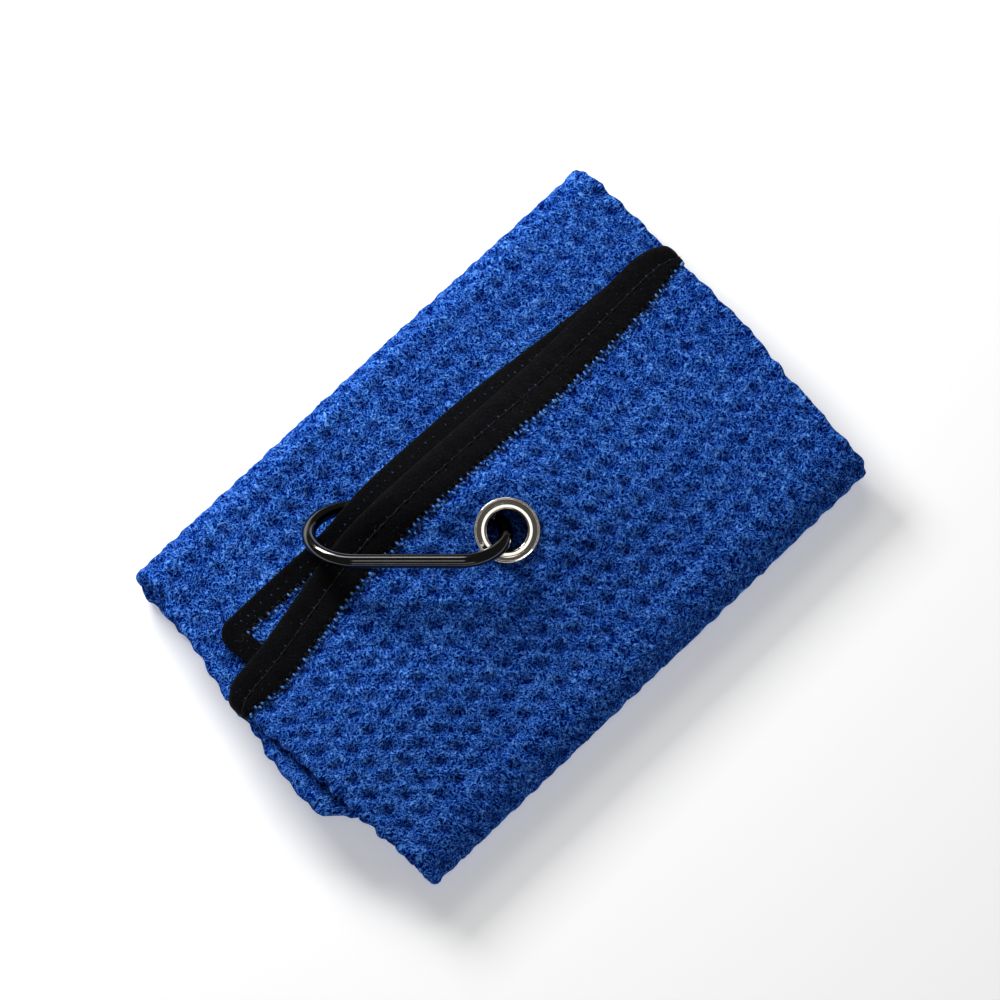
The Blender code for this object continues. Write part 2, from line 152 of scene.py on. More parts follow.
def hem_shift(x, ply, v):
    rise = 2.6 * step((x - 15) / 55)
    front = -6.3 * (1 - step((x + 74) / 46)) + 0.2 + rise
    middle = 5.0 * (1 - step((x - 6) / 60)) - 1.2 * np.exp(-(((x + 33) / 7) ** 2) / 2) + rise
    back = -7.5 * (1 - step((x + 74) / 30)) + 2.6 * step((x + 74) / 40) - 4.0 * step((x - 10) / 45)
    return np.choose(ply, [middle, 0.2 + rise, front, -6.4 + 0 * x, back]) * (1 - step(v / 58))


def wave(x, y, seed):
    """A slow unevenness, about one millimetre either way, as cloth has."""
    s = 0.0
    for k in range(4):
        p = seed * 1.7 + k * 2.39
        w = 0.055 * (1 + 0.45 * k)
        s = s + np.sin(x * w * math.cos(p) + y * w * math.sin(p) + p * 3.1) / (1 + k)
    return s / 2.0


def round_corner(u, v):
    """The towel's square corners drawn in to round ones."""
    r = CORNER
    su, sv = np.where(u > TOWEL / 2, -1, 1), np.where(v > TOWEL / 2, -1, 1)
    du, dv = np.where(su > 0, u, TOWEL - u), np.where(sv > 0, v, TOWEL - v)
    a, b = np.clip((r - du) / r, 0, 1.1), np.clip((r - dv) / r, 0, 1.1)
    a2, b2 = a * np.sqrt(1 - b * b / 2), b * np.sqrt(1 - a * a / 2)
    du, dv = du + (a - a2) * r, dv + (b - b2) * r
    return np.where(su > 0, du, TOWEL - du), np.where(sv > 0, dv, TOWEL - dv)


def end_taper(u, reach_right=9.0, reach_left=6.0):
    """1 at the two ends of the strip where the hem turns, 0 a little way in."""
    right = np.clip(1 - np.abs(u - (U[0] + U[1]) / 2) / reach_right, 0, 1)
    left = np.clip(1 - np.abs(u - (U[2] + U[3]) / 2) / reach_left, 0, 1)
    return right, left


def place(u, v, h=0.0):
    """Point of the folded towel for (u, v) of the flat one, h above its front face's middle, in metres."""
    u, v, h = np.broadcast_arrays(np.asarray(u, float), np.asarray(v, float), np.asarray(h, float))
    u, v = round_corner(u, v)
    uc, vc = np.clip(u, 0, TOWEL), np.clip(v, 0, TOWEL)
    x0, level, nx, nw, ply = across(uc)
    x0 = x0 + np.where(ply == 0, u - uc, 0) + np.where(ply == 4, u - uc, 0)
    left, right = ends(vc)
    x = left + (x0 - A_FOLD + PLY_PITCH) / (B_FOLD - A_FOLD + 1.5 * PLY_PITCH) * (right - left) + nx * h
    level = level + nw * h
    y, z, ny, nz, turn = wrap(vc)
    over = v - vc   # past the hem's edge
    y = y + np.where(turn == 0, -over, 0) + np.where(turn == 8, -over, 0)
    top = turn == 0
    x = x + np.where(top & (ply == 0), 0.3 * (1 - step(uc / 50)) * (1 - step((vc - 8) / 40)), 0)
    shift = hem_shift(x, ply, vc)
    tip, tail = end_taper(uc)
    shift = shift - (2.6 * tip ** 2.4 + 2.6 * tail ** 2.2) * (1 - step(vc / 14))
    y = y + np.where(top, shift, 0)
    near = np.hypot(x - EYE_X, y - EYE_Y)
    squeeze = np.where(top, 0.62 + 0.38 * step((near - 8.5) / 6), 1.0)
    level = level * squeeze
    fade = step((V_HINGE - vc) / 26)
    z = z + np.where(top, flap_raise(x, y) * fade, 0)
    z = z - bundle_dish(x, y) * np.choose(np.clip(turn, 0, 8), [0, 0, 0, 0, 1, 0, 0.33, 0, 0.67])
    # slack: soft, slow unevenness of the free faces
    soft = np.where(turn >= 3, 0.30, 0.0) * (turn < 6) * (1 - np.exp(-((near / 30) ** 2)))
    z = z + np.where((turn == 4), -0.35 + 0.3 * wave(x, y, 2.0), 0.0) * 0.9 * (soft > 0)
    z = z + np.where(top, 0.28 * (wave(x, y, 5.0)) * step((near - 12) / 20) * fade, 0)
    y, z = y + ny * level, z + nz * level
    thin = 1 - (1 - step((x - 6) / 62)) * (1 - step((-13 - y) / 30))
    y = y + 0.035 * np.clip(-20 - y, 0, None)
    z = z * (1 - 0.24 * thin)
    z = np.where(z < 0.25, 0.25 - 0.45 * (1 - np.exp(-(0.25 - z) / 0.45)), z)   # the pile flattens where it lies
    return (np.stack([x, y, z], -1) + SHIFT) * MM


# ---- woven relief -----------------------------------------------------------
PU, PV = 5.35, 5.75     # waffle pitch across and along the towel


def pits(u, v):
    """0 on the waffle's ridges, 1 at the bottom of a cell."""
    wob_u = 0.35 * np.sin(v * 0.113 + 1.3) + 0.2 * np.sin(v * 0.31 + u * 0.05)
    wob_v = 0.35 * np.sin(u * 0.097 + 0.4) + 0.2 * np.sin(u * 0.27 + v * 0.06)
    pu, pv = 2 * math.pi * (u + wob_u) / PU, 2 * math.pi * (v + wob_v) / PV
    q, r = (pu + pv) / 2, (pu - pv) / 2     # the cells are pulled long on the bias
    cell = np.exp(2.1 * (np.cos(q) - 1) + 0.75 * (np.cos(r) - 1)) + np.exp(2.1 * (-np.cos(q) - 1) + 0.75 * (-np.cos(r) - 1))
    return np.clip(1.12 * cell - 0.08, 0, 1)


def lumps(u, v):
    """The looped pile's uneven top, under a millimetre across."""
    s = np.zeros_like(u)
    for k, (fu, fv, p) in enumerate(((2.9, 1.3, 0.3), (-1.7, 2.6, 1.9), (3.7, -2.2, 4.1), (1.1, 3.9, 2.7), (4.6, 1.9, 5.2))):
        s += np.sin(u * fu + v * fv + p + 1.5 * np.sin(u * 0.71 + v * 0.53 + p * 2))
    return s / 5


def hash_noise(i, j, seed):
    n = np.sin(i * 12.9898 + j * 78.233 + seed * 37.719) * 43758.5453
    return n - np.floor(n)


def relief(u, v):
    """Height of the pile over the base cloth, millimetres."""
    p = pits(u, v)
    return 0.72 * (1 - p) + 0.18 * lumps(u, v) * (1 - 0.4 * p) - 0.50 * p


def clear_eye(u, v, h):
    """The pile is pressed flat under the grommet."""
    q = place(u, v) / MM - SHIFT
    near = np.hypot(q[..., 0] - EYE_X, q[..., 1] - EYE_Y)
    ok = (v < V_HINGE)
    t = np.where(ok, 1 - step((near - 7.6) / 3.0), 0)
    return h * (1 - t) + 0.0 * t, near


def spaced(points):
    """Ascending coordinates from (end, spacing) runs."""
    out = [points[0]]
    for end, gap in points[1:]:
        n = max(1, round((end - out[-1]) / gap))
        out += list(out[-1] + (end - out[-1]) * np.arange(1, n + 1) / n)
    return np.array(out)


def mesh_object(name, verts, faces, uv=None, attrs=None, smooth_angle=None):
    mesh = bpy.data.meshes.new(name)
    mesh.from_pydata(np.asarray(verts).tolist(), [], np.asarray(faces).tolist() if isinstance(faces, np.ndarray) else faces)
    mesh.update()
    for key, values in (attrs or {}).items():
        layer = mesh.attributes.new(key, "FLOAT", "POINT")
        layer.data.foreach_set("value", np.asarray(values, np.float32))
    if uv is not None:
        layer = mesh.uv_layers.new(name="cloth_mm")
        index = np.empty(len(mesh.loops), np.int32)
        mesh.loops.foreach_get("vertex_index", index)
        layer.data.foreach_set("uv", np.asarray(uv, np.float32)[index].ravel())
    mesh.polygons.foreach_set("use_smooth", [True] * len(mesh.polygons))
    obj = bpy.data.objects.new(name, mesh)
    scene.collection.objects.link(obj)
    if smooth_angle:
        mesh.set_sharp_from_angle(angle=math.radians(smooth_angle))
    return obj


def grid_faces(nu, nv, start=0, flip=False):
    i, j = np.meshgrid(np.arange(nu - 1), np.arange(nv - 1), indexing="ij")
    a = (i * nv + j + start).ravel()
    quads = np.stack([a, a + nv, a + nv + 1, a + 1], 1)
    return quads[:, ::-1] if flip else quads


def cloth_piece(name, us, vs, eyelet=False):
    """A closed two-faced sheet over the grid us x vs of the flat towel."""
    u, v = np.meshgrid(us, vs, indexing="ij")
    r = relief(u, v)
    # the inner faces carry less pile, being pressed together
    front = 0.25 + np.where(u > U[0], 1.0, 0.55) * r * np.where(u > U[3], 0.55, 1.0)
    turn_u = np.exp(-(((u - (U[0] + U[1]) / 2) / 2.2) ** 2)) + np.exp(-(((u - (U[2] + U[3]) / 2) / 2.6) ** 2))
    front = front + 0.20 * turn_u * (0.5 + np.cos(2 * math.pi * (v + 0.9 * np.sin(v * 0.21)) / PV) + 0.5 * np.sin(v * 0.83 + 1.0)) * step((v - 10) / 4)
    turn_v = np.exp(-(((v - V[1] - 12) / 4.5) ** 2)) + np.exp(-(((v - V[3] - 9) / 3.5) ** 2))
    front = front + 0.10 * turn_v * (np.cos(2 * math.pi * (u + 0.9 * np.sin(u * 0.19)) / PU) + 0.6 * np.sin(u * 0.77))
    hidden = (v > V[5]) | ((v > V[4] + 50) & (v <= V[5]) & (u < U[2] - 25))
    front = np.where(hidden, 0.25 + 0.3 * r, front)
    back = -(0.22 + 0.16 * r)
    front, near = clear_eye(u, v, front)
    back, _ = clear_eye(u, v, back)
    front = np.where((near < 10.6) & (v < V_HINGE), np.maximum(front, 0.12), front)
    back = np.where((near < 10.6) & (v < V_HINGE), np.minimum(back, -0.12), back)
    # under the bindings
    edge = np.minimum(np.minimum(u, TOWEL - u), np.minimum(v, TOWEL - v))
    hem = np.minimum(v, TOWEL - v)
    thin = np.minimum(step((hem - 9.0) / 3.2), step((edge - 4.3) / 2.6))
    front = 0.18 + (front - 0.18) * thin
    back = -0.2 + (back + 0.2) * step((edge - 3.5) / 2.6)
    nu, nv = len(us), len(vs)
    f = place(u, v, front).reshape(-1, 3)
    b = place(u, v, back).reshape(-1, 3)
    verts = np.concatenate([f, b])
    n = nu * nv
    faces = [grid_faces(nu, nv, 0), grid_faces(nu, nv, n, flip=True)]
    idx = np.arange(n).reshape(nu, nv)
    if eyelet:   # open the grommet's hole through the three plies
        centre = (idx[:-1, :-1] + 0).ravel()
        mid = (f[faces[0][:, 0]] + f[faces[0][:, 2]]) / 2 / MM - SHIFT
        gone = (np.hypot(mid[:, 0] - EYE_X, mid[:, 1] - EYE_Y) < 5.6) & (mid[:, 2] > 15)
        faces = [faces[0][~gone], faces[1][~gone]]
        keep = faces[0]
        ends_ = np.concatenate([keep[:, [0, 1]], keep[:, [1, 2]], keep[:, [2, 3]], keep[:, [3, 0]]])
        key = np.sort(ends_, 1)
        _, first, count = np.unique(key, axis=0, return_index=True, return_counts=True)
        rim = ends_[first[count == 1]]
    else:
        keep = faces[0]
        ends_ = np.concatenate([keep[:, [0, 1]], keep[:, [1, 2]], keep[:, [2, 3]], keep[:, [3, 0]]])
        key = np.sort(ends_, 1)
        _, first, count = np.unique(key, axis=0, return_index=True, return_counts=True)
        rim = ends_[first[count == 1]]
    wall = np.stack([rim[:, 1], rim[:, 0], rim[:, 0] + n, rim[:, 1] + n], 1)
    faces.append(wall)
    faces = np.concatenate(faces)
    used = np.unique(faces)
    remap = np.full(2 * n, -1)
    remap[used] = np.arange(len(used))
    uv = np.concatenate([np.stack([u.ravel(), v.ravel()], 1)] * 2)
    # cell depth per vertex, read by the cloth material for its painted shade in the waffle cells
    pit = np.concatenate([pits(u, v).ravel()] * 2)
    obj = mesh_object(name, verts[used], remap[faces], uv[used], {"pit": pit[used]})
    return obj


QUICK = 1.0
FINE = 0.85 * QUICK
us = spaced([0.0, (75, 1.3), (U[0], 2.6), (U[1], 0.3), (U[1] + 2, 0.6), (U[2], FINE), (U[3], 0.42), (U[3] + 60, 2.6), (TOWEL, 2.6)])
vs_flap = spaced([0.0, (V_HINGE, FINE), (V_SPLIT, FINE)])
vs_bundle = spaced([V_SPLIT, (V[2], FINE), (V[3], 1.9), (V[4], 0.95), (V[4] + 34, 0.95), (V[5], 1.5), (V[6], 1.4), (V[7], 5.0), (V[8], 0.9), (TOWEL, 4.5)])
flap_cloth = cloth_piece("towel_cloth_flap", us, vs_flap, eyelet=True)
bundle_cloth = cloth_piece("towel_cloth_bundle", us, vs_bundle)

# ---- bindings ---------------------------------------------------------------
PROFILE = (   # (distance from the edge, height) of the folded tape, front 9.6 wide, back 4.9 wide
    (9.75, 0.30), (9.70, 0.62), (9.2, 0.86), (8.0, 0.93), (6.6, 0.98), (5.3, 0.90), (4.9, 0.80), (4.5, 0.90), (3.2, 1.0),
    (1.8, 0.98), (0.7, 0.84), (0.05, 0.55), (-0.32, 0.12), (-0.30, -0.25), (0.1, -0.50), (0.8, -0.52), (2.4, -0.53),
    (4.2, -0.52), (4.8, -0.44), (4.95, -0.22),
)


def band(name, stations, edge, tapered=False):
    """The tape over one edge of the towel. edge gives (u, v) for a station and a distance in from the edge."""
    prof = np.array(PROFILE)
    n, m = len(stations), len(prof)
    s = np.repeat(stations, m).reshape(n, m)
    d = np.tile(prof[:, 0], (n, 1))
    h = np.tile(prof[:, 1], (n, 1))
    # the tape puckers a little between stitches
    pucker = 0.05 * np.sin(s * 2 * math.pi / 3.6) + 0.05 * np.sin(s * 0.61 + d)
    h = h + np.where(h > 0.5, pucker, 0)
    d = d + 0.12 * np.sin(s * 0.37 + 1.0) * (d > 6)
    if tapered:
        tip, tail = end_taper(s, 13.0, 10.0)
        d = np.where(d > 5, 5 + (d - 5) * (1 - 0.62 * tip ** 1.6 - 0.60 * tail ** 1.7), d)
    u, v = edge(s, d)
    p = place(u, v, h)
    verts = p.reshape(-1, 3)
    i, j = np.meshgrid(np.arange(n - 1), np.arange(m), indexing="ij")
    a = i * m + j
    bb = i * m + (j + 1) % m
    quads = np.stack([a.ravel(), bb.ravel(), (bb + m).ravel(), (a + m).ravel()], 1)
    faces = quads.tolist()
    faces.append(list(range(m))[::-1])
    faces.append([(n - 1) * m + k for k in range(m)])
    uv = np.stack([s.ravel(), d.ravel()], 1)
    return mesh_object(name, verts, faces, uv)


def fix_normals(obj):
    bm = bmesh.new()
    bm.from_mesh(obj.data)
    bmesh.ops.recalc_face_normals(bm, faces=bm.faces)
    bm.to_mesh(obj.data)
    bm.free()


st_top = spaced([0.0, (75, 0.9), (U[0], 1.2), (U[1], 0.3), (U[2], 0.8), (U[3], 0.42), (TOWEL, 1.8)])
top_band = band("hem_binding_top", st_top, lambda s, d: (s, d), tapered=True)
bottom_band = band("hem_binding_bottom", spaced([0.0, (U[0], 4), (U[1], 0.3), (U[2], 4), (U[3], 0.42), (TOWEL, 4)]), lambda s, d: (s, TOWEL - d))
side_flap, side_bundle = spaced([-0.2, (V_SPLIT, 0.9)]), spaced([V_SPLIT, (V[2], 1.2), (V[3], 3), (V[4], 1.0), (V[5], 2.4), (V[6], 0.8), (V[7], 3), (V[8], 0.6), (TOWEL, 3)])
bands = {
    "left_flap": band("hem_binding_left_flap", side_flap, lambda s, d: (d, s)),
    "left_bundle": band("hem_binding_left_bundle", side_bundle, lambda s, d: (d, s)),
    "right_flap": band("hem_binding_right_flap", side_flap, lambda s, d: (TOWEL - d, s)),
    "right_bundle": band("hem_binding_right_bundle", side_bundle, lambda s, d: (TOWEL - d, s)),
}
for o in (top_band, bottom_band, *bands.values()):
    fix_normals(o)


# ---- stitching --------------------------------------------------------------
def tube(name, path, radius, sides=6, closed_ends=True):
    """A round thread along a path of points in metres."""
    path = np.asarray(path, float)
    t = np.gradient(path, axis=0)
    t /= np.linalg.norm(t, axis=1)[:, None] + 1e-12
    ref = np.zeros_like(t)
    ref[:] = (0.0, 0.0, 1.0)
    steep = np.abs(t[:, 2]) > 0.9
    ref[steep] = (0.0, 1.0, 0.0)
    a = np.cross(t, ref)
    a /= np.linalg.norm(a, axis=1)[:, None] + 1e-12
    b = np.cross(t, a)
    ang = np.arange(sides) * 2 * math.pi / sides
    ring = path[:, None, :] + radius * (np.cos(ang)[None, :, None] * a[:, None, :] + np.sin(ang)[None, :, None] * b[:, None, :])
    n = len(path)
    i, j = np.meshgrid(np.arange(n - 1), np.arange(sides), indexing="ij")
    p, q = i * sides + j, i * sides + (j + 1) % sides
    faces = np.stack([p.ravel(), q.ravel(), (q + sides).ravel(), (p + sides).ravel()], 1).tolist()
    faces.append(list(range(sides))[::-1])
    faces.append([(n - 1) * sides + k for k in range(sides)])
    return mesh_object(name, ring.reshape(-1, 3), faces)


def blanket(first, last, pitch, near, far):
    """Station and distance of an overlock stitch: over the tape's edge, along, and back."""
    out = []
    k = 0
    s = first
    while s + pitch < last:
        jit = 0.18 * (hash_noise(k, 3, 1.0) - 0.5)
        f = far + 0.25 * (hash_noise(k, 7, 2.0) - 0.5)
        for ds, d in ((0.0, near), (0.06, (near + f) / 2), (0.1, f), (0.45, f + 0.04), (0.62, f), (0.66, (near + f) / 2), (0.72, near), (0.9, near - 0.05)):
            out.append((s + ds * pitch + jit, d))
        s += pitch
        k += 1
    return np.array(out)


def stitch(name, first, last, to_uv, near, far, side=1, pitch=1.8, radius=0.13, lift=0.0):
    sd = blanket(first, last, pitch, near, far)
    tip, tail = end_taper(sd[:, 0], 13.0, 10.0)
    dist = np.where(sd[:, 1] > 6, sd[:, 1] - (sd[:, 1] - 5) * (0.62 * tip ** 1.6 + 0.60 * tail ** 1.7), sd[:, 1])
    u, v = to_uv(sd[:, 0], dist)
    r = 0.25 + relief(u, v) * step((v - 9.0) / 3.2)
    # the thread lies on the tape at one end and pulls into the pile at the other
    on_tape = step((near + 0.5 - sd[:, 1]) / 0.5)
    if side > 0:
        h = np.where(on_tape > 0.5, 0.86, np.minimum(r, 0.8) + 0.12) + lift
    else:
        h = -np.where(on_tape > 0.5, 0.55, 0.50) - lift
    p = place(u, v, h)
    return tube(name, p, radius * MM, 5)


threads = [
    stitch("stitch_top_front", 2.0, TOWEL - 2.0, lambda s, d: (s, d), 9.3, 11.0, radius=0.13),
    stitch("stitch_top_back", 2.0, 90.0, lambda s, d: (s, d), 4.5, 5.5, side=-1),
]
side_stitches = [
    stitch("stitch_left_back", 8.0, 42.0, lambda s, d: (d, s), 4.5, 5.5, side=-1),
]


def running(name, first, last, to_uv, d, h, pitch=2.4, radius=0.14):
    """A straight seam: each stitch rises out of the tape and goes back in."""
    s = np.arange(first, last, pitch / 8)
    ph = (s - first) / pitch * 2 * math.pi
    u, v = to_uv(s, d + 0.04 * np.sin(ph * 0.5))
    return tube(name, place(u, v, h + 0.13 * np.cos(ph) * np.sign(h)), radius * MM, 5)


threads.append(running("seam_top_front", 2.0, TOWEL - 2.0, lambda s, d: (s, d), 4.85, 0.86))
for o in threads + side_stitches:
    fix_normals(o)


def beads(name, first, last, pitch, to_uv, d0, spread, h0, size, seed, side=1):
    """Small tufts of the cloth that show between the stitches of the tape."""
    bm = bmesh.new()
    bmesh.ops.create_icosphere(bm, subdivisions=2, radius=1.0)
    ball = np.array([v.co[:] for v in bm.verts])
    tris = np.array([[v.index for v in f.verts] for f in bm.faces])
    bm.free()
    verts, faces = [], []
    s, k = first, 0
    while s < last:
        r1, r2, r3, r4 = (float(hash_noise(k, m, seed)) for m in (1, 2, 3, 4))
        s += pitch * (0.72 + 0.56 * r1)
        k += 1
        if r4 < 0.12:
            continue
        d = d0 + spread * (r2 - 0.5)
        if d0 > 6:
            tip, tail = end_taper(np.array(s), 13.0, 10.0)
            d = 5 + (d - 5) * (1 - 0.62 * float(tip) ** 1.6 - 0.60 * float(tail) ** 1.7)
        rs = size * (0.7 + 0.6 * r3)
        lump = 1 + 0.22 * np.sin(ball @ np.array((3.1, 4.3, 2.2)) * 1.6 + r1 * 6)
        su = s + ball[:, 0] * rs * lump * 0.8
        dv = d + ball[:, 1] * rs * lump * 1.7 + ball[:, 0] * rs * (r2 - 0.5)
        u, v = to_uv(su, dv)
        p = place(u, v, side * (h0 + ball[:, 2] * rs * 0.75 * lump))
        faces.append(tris + 42 * len(verts))
        verts.append(p)
    return mesh_object(name, np.concatenate(verts), np.concatenate(faces))


tufts = beads("tufts_top_front", 3.0, TOWEL - 3.0, 1.75, lambda s, d: (s, d), 10.0, 1.1, 0.68, 0.31, 3.0)
tufts_far = beads("tufts_top_far", 3.5, TOWEL - 3.0, 3.1, lambda s, d: (s, d), 11.0, 0.8, 0.62, 0.24, 4.0)
tufts_back = beads("tufts_top_back", 3.0, 92.0, 1.9, lambda s, d: (s, d), 5.15, 0.5, 0.42, 0.26, 5.0, side=-1)
dots = beads("seam_dots_front", 4.0, TOWEL - 4.0, 2.1, lambda s, d: (s, d), 4.6, 0.5, 0.90, 0.15, 7.0)
dots_back = beads("seam_dots_back", 4.0, 96.0, 2.2, lambda s, d: (s, d), 2.3, 0.5, 0.56, 0.14, 9.0, side=-1)
for o in (tufts, tufts_far, tufts_back, dots, dots_back):
    fix_normals(o)

# ---- grommet ----------------------------------------------------------------
EYE_Z = Z0 + float(flap_raise(np.array(EYE_X), np.array(EYE_Y)))
HALF = 0.62 * PLY_PITCH + PLY_T / 2
eye_axis = Vector((-math.sin(EYE_TILT) * ACROSS[0], -math.sin(EYE_TILT) * ACROSS[1], math.cos(EYE_TILT)))
eye_x = Vector((ALONG[0], ALONG[1], 0.0))
EYE_FRAME = Matrix.Translation((Vector((EYE_X, EYE_Y, EYE_Z)) + Vector(SHIFT)) * MM) @ Matrix((eye_x, eye_axis.cross(eye_x), eye_axis)).transposed().to_4x4()


def smooth_loop(points, per=6):
    """A closed Catmull-Rom curve through the points."""
    p = np.asarray(points, float)
    n = len(p)
    out = []
    for i in range(n):
        a, b, c, d = p[i - 1], p[i], p[(i + 1) % n], p[(i + 2) % n]
        for k in range(per):
            t = k / per
            out.append(0.5 * ((2 * b) + (c - a) * t + (2 * a - 5 * b + 4 * c - d) * t * t + (3 * b - a - 3 * c + d) * t ** 3))
    return np.array(out)


def revolve(name, profile, steps=128):
    prof = np.asarray(profile)
    a = np.arange(steps) * 2 * math.pi / steps
    x = prof[None, :, 0] * np.cos(a)[:, None]
    y = prof[None, :, 0] * np.sin(a)[:, None]
    z = np.tile(prof[:, 1], (steps, 1))
    p = np.stack([x, y, z], -1).reshape(-1, 3) * MM
    m = np.array(EYE_FRAME)
    p = p @ m[:3, :3].T + m[:3, 3]
    k = len(prof)
    i, j = np.meshgrid(np.arange(steps), np.arange(k), indexing="ij")
    q = np.stack([(i * k + j).ravel(), (i * k + (j + 1) % k).ravel(), (((i + 1) % steps) * k + (j + 1) % k).ravel(), (((i + 1) % steps) * k + j).ravel()], 1)
    obj = mesh_object(name, p, q)
    fix_normals(obj)
    return obj


top, low = HALF + 0.3, -HALF - 0.3 - 0.35 - 0.3
eyelet_profile = [
    (4.82, top - 0.25), (5.15, top + 0.02), (6.2, top + 0.03), (7.0, top - 0.04), (7.30, top + 0.12), (7.36, top + 0.34), (7.26, top + 0.50), (7.1, top + 0.53),
    (6.96, top + 0.44), (6.82, top + 0.42), (6.5, top + 0.52), (6.15, top + 0.63), (5.9, top + 0.73), (5.72, top + 0.775), (5.4, top + 0.78),
    (5.05, top + 0.775), (4.78, top + 0.66), (4.56, top + 0.40), (4.45, top + 0.05),
    (4.40, -0.2), (4.40, low + 0.6), (4.50, low + 0.1), (4.85, low - 0.34), (5.5, low - 0.42), (5.9, low - 0.15), (5.6, low - 0.02), (5.0, low + 0.05), (4.80, low + 0.45), (4.80, -0.2),
]
eyelet = revolve("eyelet", smooth_loop(eyelet_profile, 5))
washer = revolve("eyelet_washer", smooth_loop([(5.1, -HALF - 0.3), (5.1, -HALF - 0.6), (6.0, -HALF - 0.68), (6.95, -HALF - 0.62), (7.2, -HALF - 0.45), (6.95, -HALF - 0.3), (6.0, -HALF - 0.28)], 4))

# ---- clip -------------------------------------------------------------------
R_END = (CLIP_W - ROD) / 2
STRAIGHT = CLIP_L - ROD - 2 * R_END
LOW_Z = Z2 + PLY_PITCH + PLY_T / 2 - DISH + GAP + ROD / 2
MID_Z = LOW_Z + R_END * math.sin(CLIP_TILT)
sink = (MID_Z - EYE_Z) / math.sin(CLIP_TILT)
clip_s = Vector((ALONG[0], ALONG[1], 0.0))
clip_t = Vector((ACROSS[0] * math.cos(CLIP_TILT), ACROSS[1] * math.cos(CLIP_TILT), -math.sin(CLIP_TILT)))
clip_n = clip_s.cross(clip_t)
clip_mid = Vector((EYE_X, EYE_Y, MID_Z)) + clip_s * (START + R_END) - Vector((ACROSS[0], ACROSS[1], 0.0)) * sink * math.cos(CLIP_TILT)
CLIP_FRAME = Matrix.Translation((clip_mid + Vector(SHIFT)) * MM) @ Matrix((clip_s, clip_t, clip_n)).transposed().to_4x4()
PIVOT_S, NOSE_S = 1.2, STRAIGHT - 2.6


def clip_path():
    pts = [(PIVOT_S - 1.9, R_END)]
    pts += [(-R_END * math.sin(a), R_END * math.cos(a)) for a in np.linspace(0.10, math.pi, 60)]
    pts += [(STRAIGHT * i / 24, -R_END) for i in range(1, 24)]
    pts += [(STRAIGHT + R_END * math.sin(a), -R_END * math.cos(a)) for a in np.linspace(0.0, math.pi, 60)]
    pts += [(NOSE_S + 1.75, R_END)]
    return np.array(pts)


def rod(name, path2, radius, sides=40):
    """Round rod along a path in the clip's plane, with rounded ends."""
    path2 = np.asarray(path2)
    t = np.gradient(path2, axis=0)
    t /= np.linalg.norm(t, axis=1)[:, None]
    nrm = np.stack([-t[:, 1], t[:, 0]], 1)
    # rounded ends
    all_p, all_n, all_r = [], [], []
    for p, n_, r in [(path2[0], nrm[0], radius - 0.22), (path2[0] + t[0] * 0.06, nrm[0], radius - 0.08), (path2[0] + t[0] * 0.2, nrm[0], radius)]:
        all_p.append(p), all_n.append(n_), all_r.append(r)
    for p, n_ in zip(path2[1:-1], nrm[1:-1]):
        all_p.append(p), all_n.append(n_), all_r.append(radius)
    for p, n_, r in [(path2[-1] - t[-1] * 0.2, nrm[-1], radius), (path2[-1] - t[-1] * 0.06, nrm[-1], radius - 0.08), (path2[-1], nrm[-1], radius - 0.22)]:
        all_p.append(p), all_n.append(n_), all_r.append(r)
    all_p, all_n, all_r = np.array(all_p), np.array(all_n), np.array(all_r)
    ang = np.arange(sides) * 2 * math.pi / sides
    xy = all_p[:, None, :] + all_r[:, None, None] * np.cos(ang)[None, :, None] * all_n[:, None, :]
    z = np.broadcast_to(all_r[:, None] * np.sin(ang)[None, :], xy.shape[:2])
    p = np.concatenate([xy, z[..., None]], -1).reshape(-1, 3) * MM
    m = np.array(CLIP_FRAME)
    p = p @ m[:3, :3].T + m[:3, 3]
    n = len(all_p)
    i, j = np.meshgrid(np.arange(n - 1), np.arange(sides), indexing="ij")
    a, b = i * sides + j, i * sides + (j + 1) % sides
    faces = np.stack([a.ravel(), b.ravel(), (b + sides).ravel(), (a + sides).ravel()], 1).tolist()
    faces += [list(range(sides))[::-1], [(n - 1) * sides + k for k in range(sides)]]
    obj = mesh_object(name, p, faces, smooth_angle=45)
    fix_normals(obj)
    return obj


def local_box(name, lo, hi, bevel=0.12):
    bm = bmesh.new()
    bmesh.ops.create_cube(bm, size=1.0)
    for v in bm.verts:
        v.co = Vector([(l + h) / 2 + c * (h - l) for l, h, c in zip(lo, hi, v.co)]) * MM
    bmesh.ops.bevel(bm, geom=list(bm.edges), offset=bevel * MM, segments=2, affect="EDGES")
    mesh = bpy.data.meshes.new(name)
    bm.to_mesh(mesh)
    bm.free()
    mesh.transform(CLIP_FRAME)
    obj = bpy.data.objects.new(name, mesh)
    scene.collection.objects.link(obj)
    return obj


clip = rod("clip_ring", clip_path(), ROD / 2)
tongue = local_box("clip_tongue", (PIVOT_S - 2.4, R_END - 1.1, -0.55), (PIVOT_S + 1.05, R_END + 1.1, 0.55))
nose = local_box("clip_nose", (NOSE_S + 0.75, R_END - 0.9, -0.55), (NOSE_S + 2.5, R_END + 1.1, 0.55))


